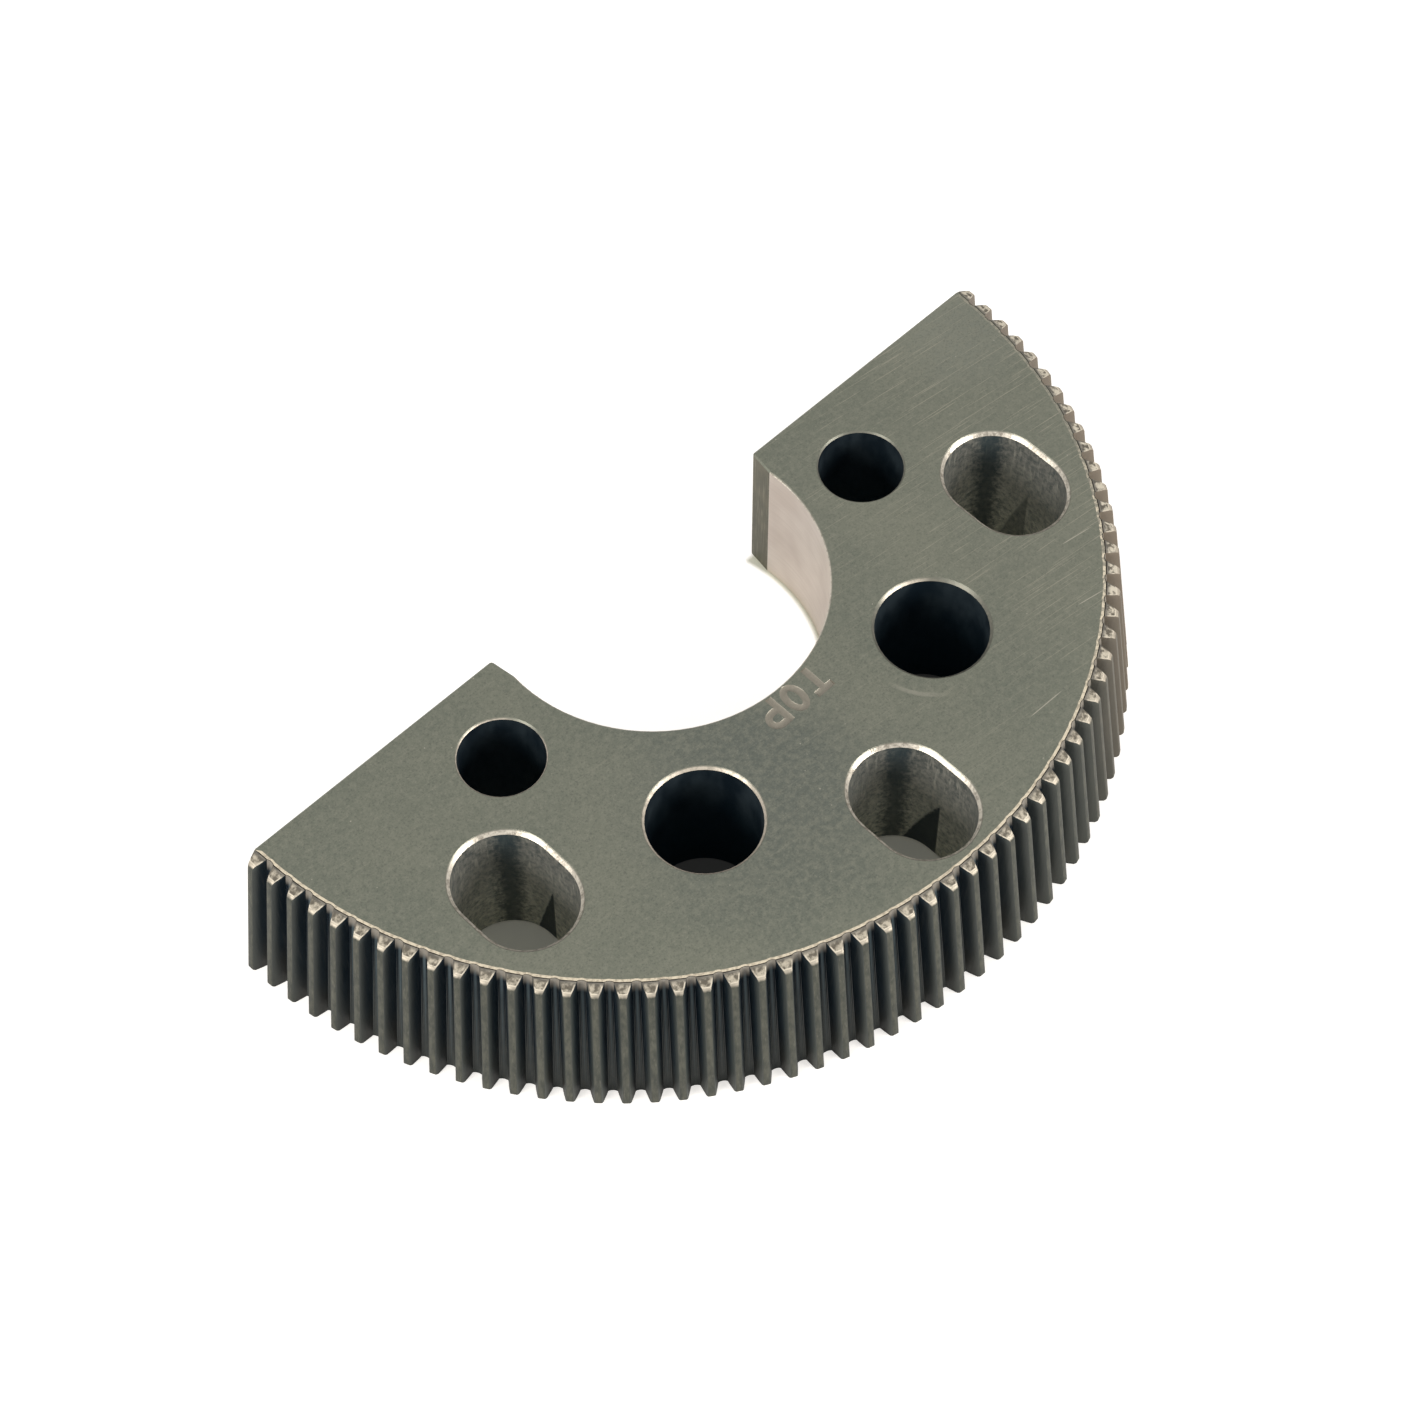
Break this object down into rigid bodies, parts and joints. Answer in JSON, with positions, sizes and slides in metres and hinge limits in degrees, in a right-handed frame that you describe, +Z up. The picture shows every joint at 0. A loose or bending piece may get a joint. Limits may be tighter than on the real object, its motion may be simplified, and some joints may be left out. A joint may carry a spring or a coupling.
{
  "type": "sector gear",
  "caption": "Half-circle bevel sector gear plate with a round notch for a pivot hub, bolt holes and adjusting slots.",
  "frame": {"origin": "on the axis that the teeth are cut about, in the plane of the bottom face, 0.5 mm beyond the two straight ends", "axes": "+Z up along the teeth's axis, from the wide end of the teeth to the narrow end and the face marked as the top; +X along the line of the two straight ends; the teeth run round the -Y side"},
  "size_m": [0.1506, 0.0748, 0.0254],
  "materials": {
    "steel": "dark olive-grey mill finish with bright worn edges"
  },
  "bodies": {
    "root": {"sector_gear": "steel"}
  },
  "joints": []
}
